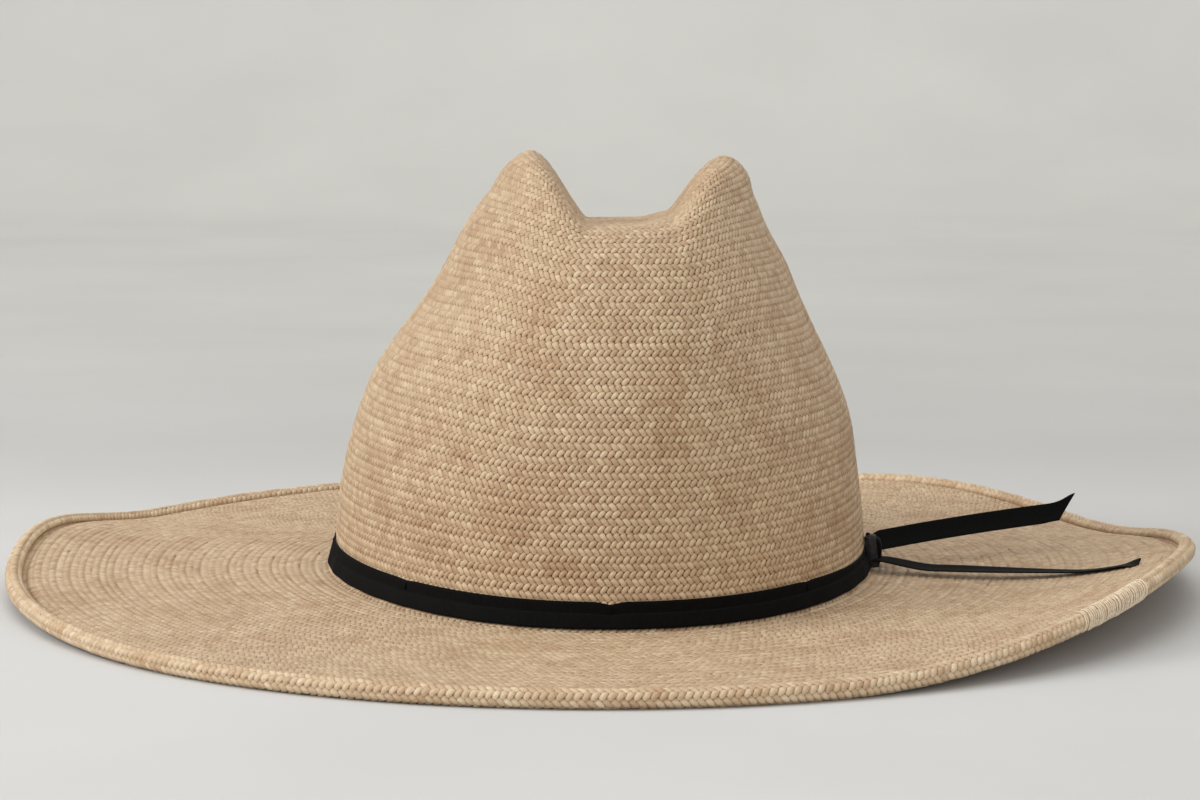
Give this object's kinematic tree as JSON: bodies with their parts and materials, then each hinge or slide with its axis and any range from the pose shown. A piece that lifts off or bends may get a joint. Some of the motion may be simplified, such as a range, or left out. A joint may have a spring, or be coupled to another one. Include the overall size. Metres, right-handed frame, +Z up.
{
  "type": "cowboy hat",
  "caption": "Woven straw cowboy hat: tall creased crown, wide brim with a rolled edge, narrow ribbon band knotted at the left with two loose ends, leather sweatband inside.",
  "frame": {"origin": "bottom centre of the hat, on the surface that the brim's edge rests on", "axes": "+Z up, the wearer faces -Y, +X towards the wearer's left, where the ribbon is tied"},
  "size_m": [0.3698, 0.3997, 0.1321],
  "materials": {
    "straw": "woven straw, matte",
    "ribbon": "ribbed black grosgrain",
    "dark_thread": "matte thread",
    "pale_thread": "matte thread",
    "steel_wire": "drawn wire",
    "aluminium_sleeve": "plain",
    "leather": "smooth tan leather",
    "reed": "matte",
    "cloth_tape": "woven tape",
    "bow_ribbon": "satin ribbon",
    "cloth_tab": "woven cloth"
  },
  "bodies": {
    "hat": {"crown": "straw", "brim": "straw", "brim_edge_roll": "straw", "edge_splice_stitches": "pale_thread", "hat_band": "ribbon", "hat_band_tacks": "dark_thread", "ribbon_knot": "ribbon", "knot_tack": "dark_thread", "brim_wire": "steel_wire", "wire_joiner": "aluminium_sleeve", "sweatband": "leather", "sweatband_reed": "reed", "reed_tape": "cloth_tape", "sweatband_stitches": "pale_thread", "sweatband_joint_stitches": "pale_thread", "sweatband_bow": "bow_ribbon", "size_tab": "cloth_tab"},
    "standing_tail": {"standing_tail": "ribbon"},
    "lying_tail": {"lying_tail": "ribbon"}
  },
  "joints": [
    {"name": "standing_tail_lift", "type": "hinge", "parent": "hat", "child": "standing_tail", "pos_m": [0.08616, -0.01082, 0.01607], "axis": [0.3584, -0.9336, 0], "range_deg": [0, 75]},
    {"name": "lying_tail_lift", "type": "hinge", "parent": "hat", "child": "lying_tail", "pos_m": [0.08698, -0.01867, 0.00718], "axis": [-0.3256, -0.9455, 0], "range_deg": [0, 75]}
  ]
}
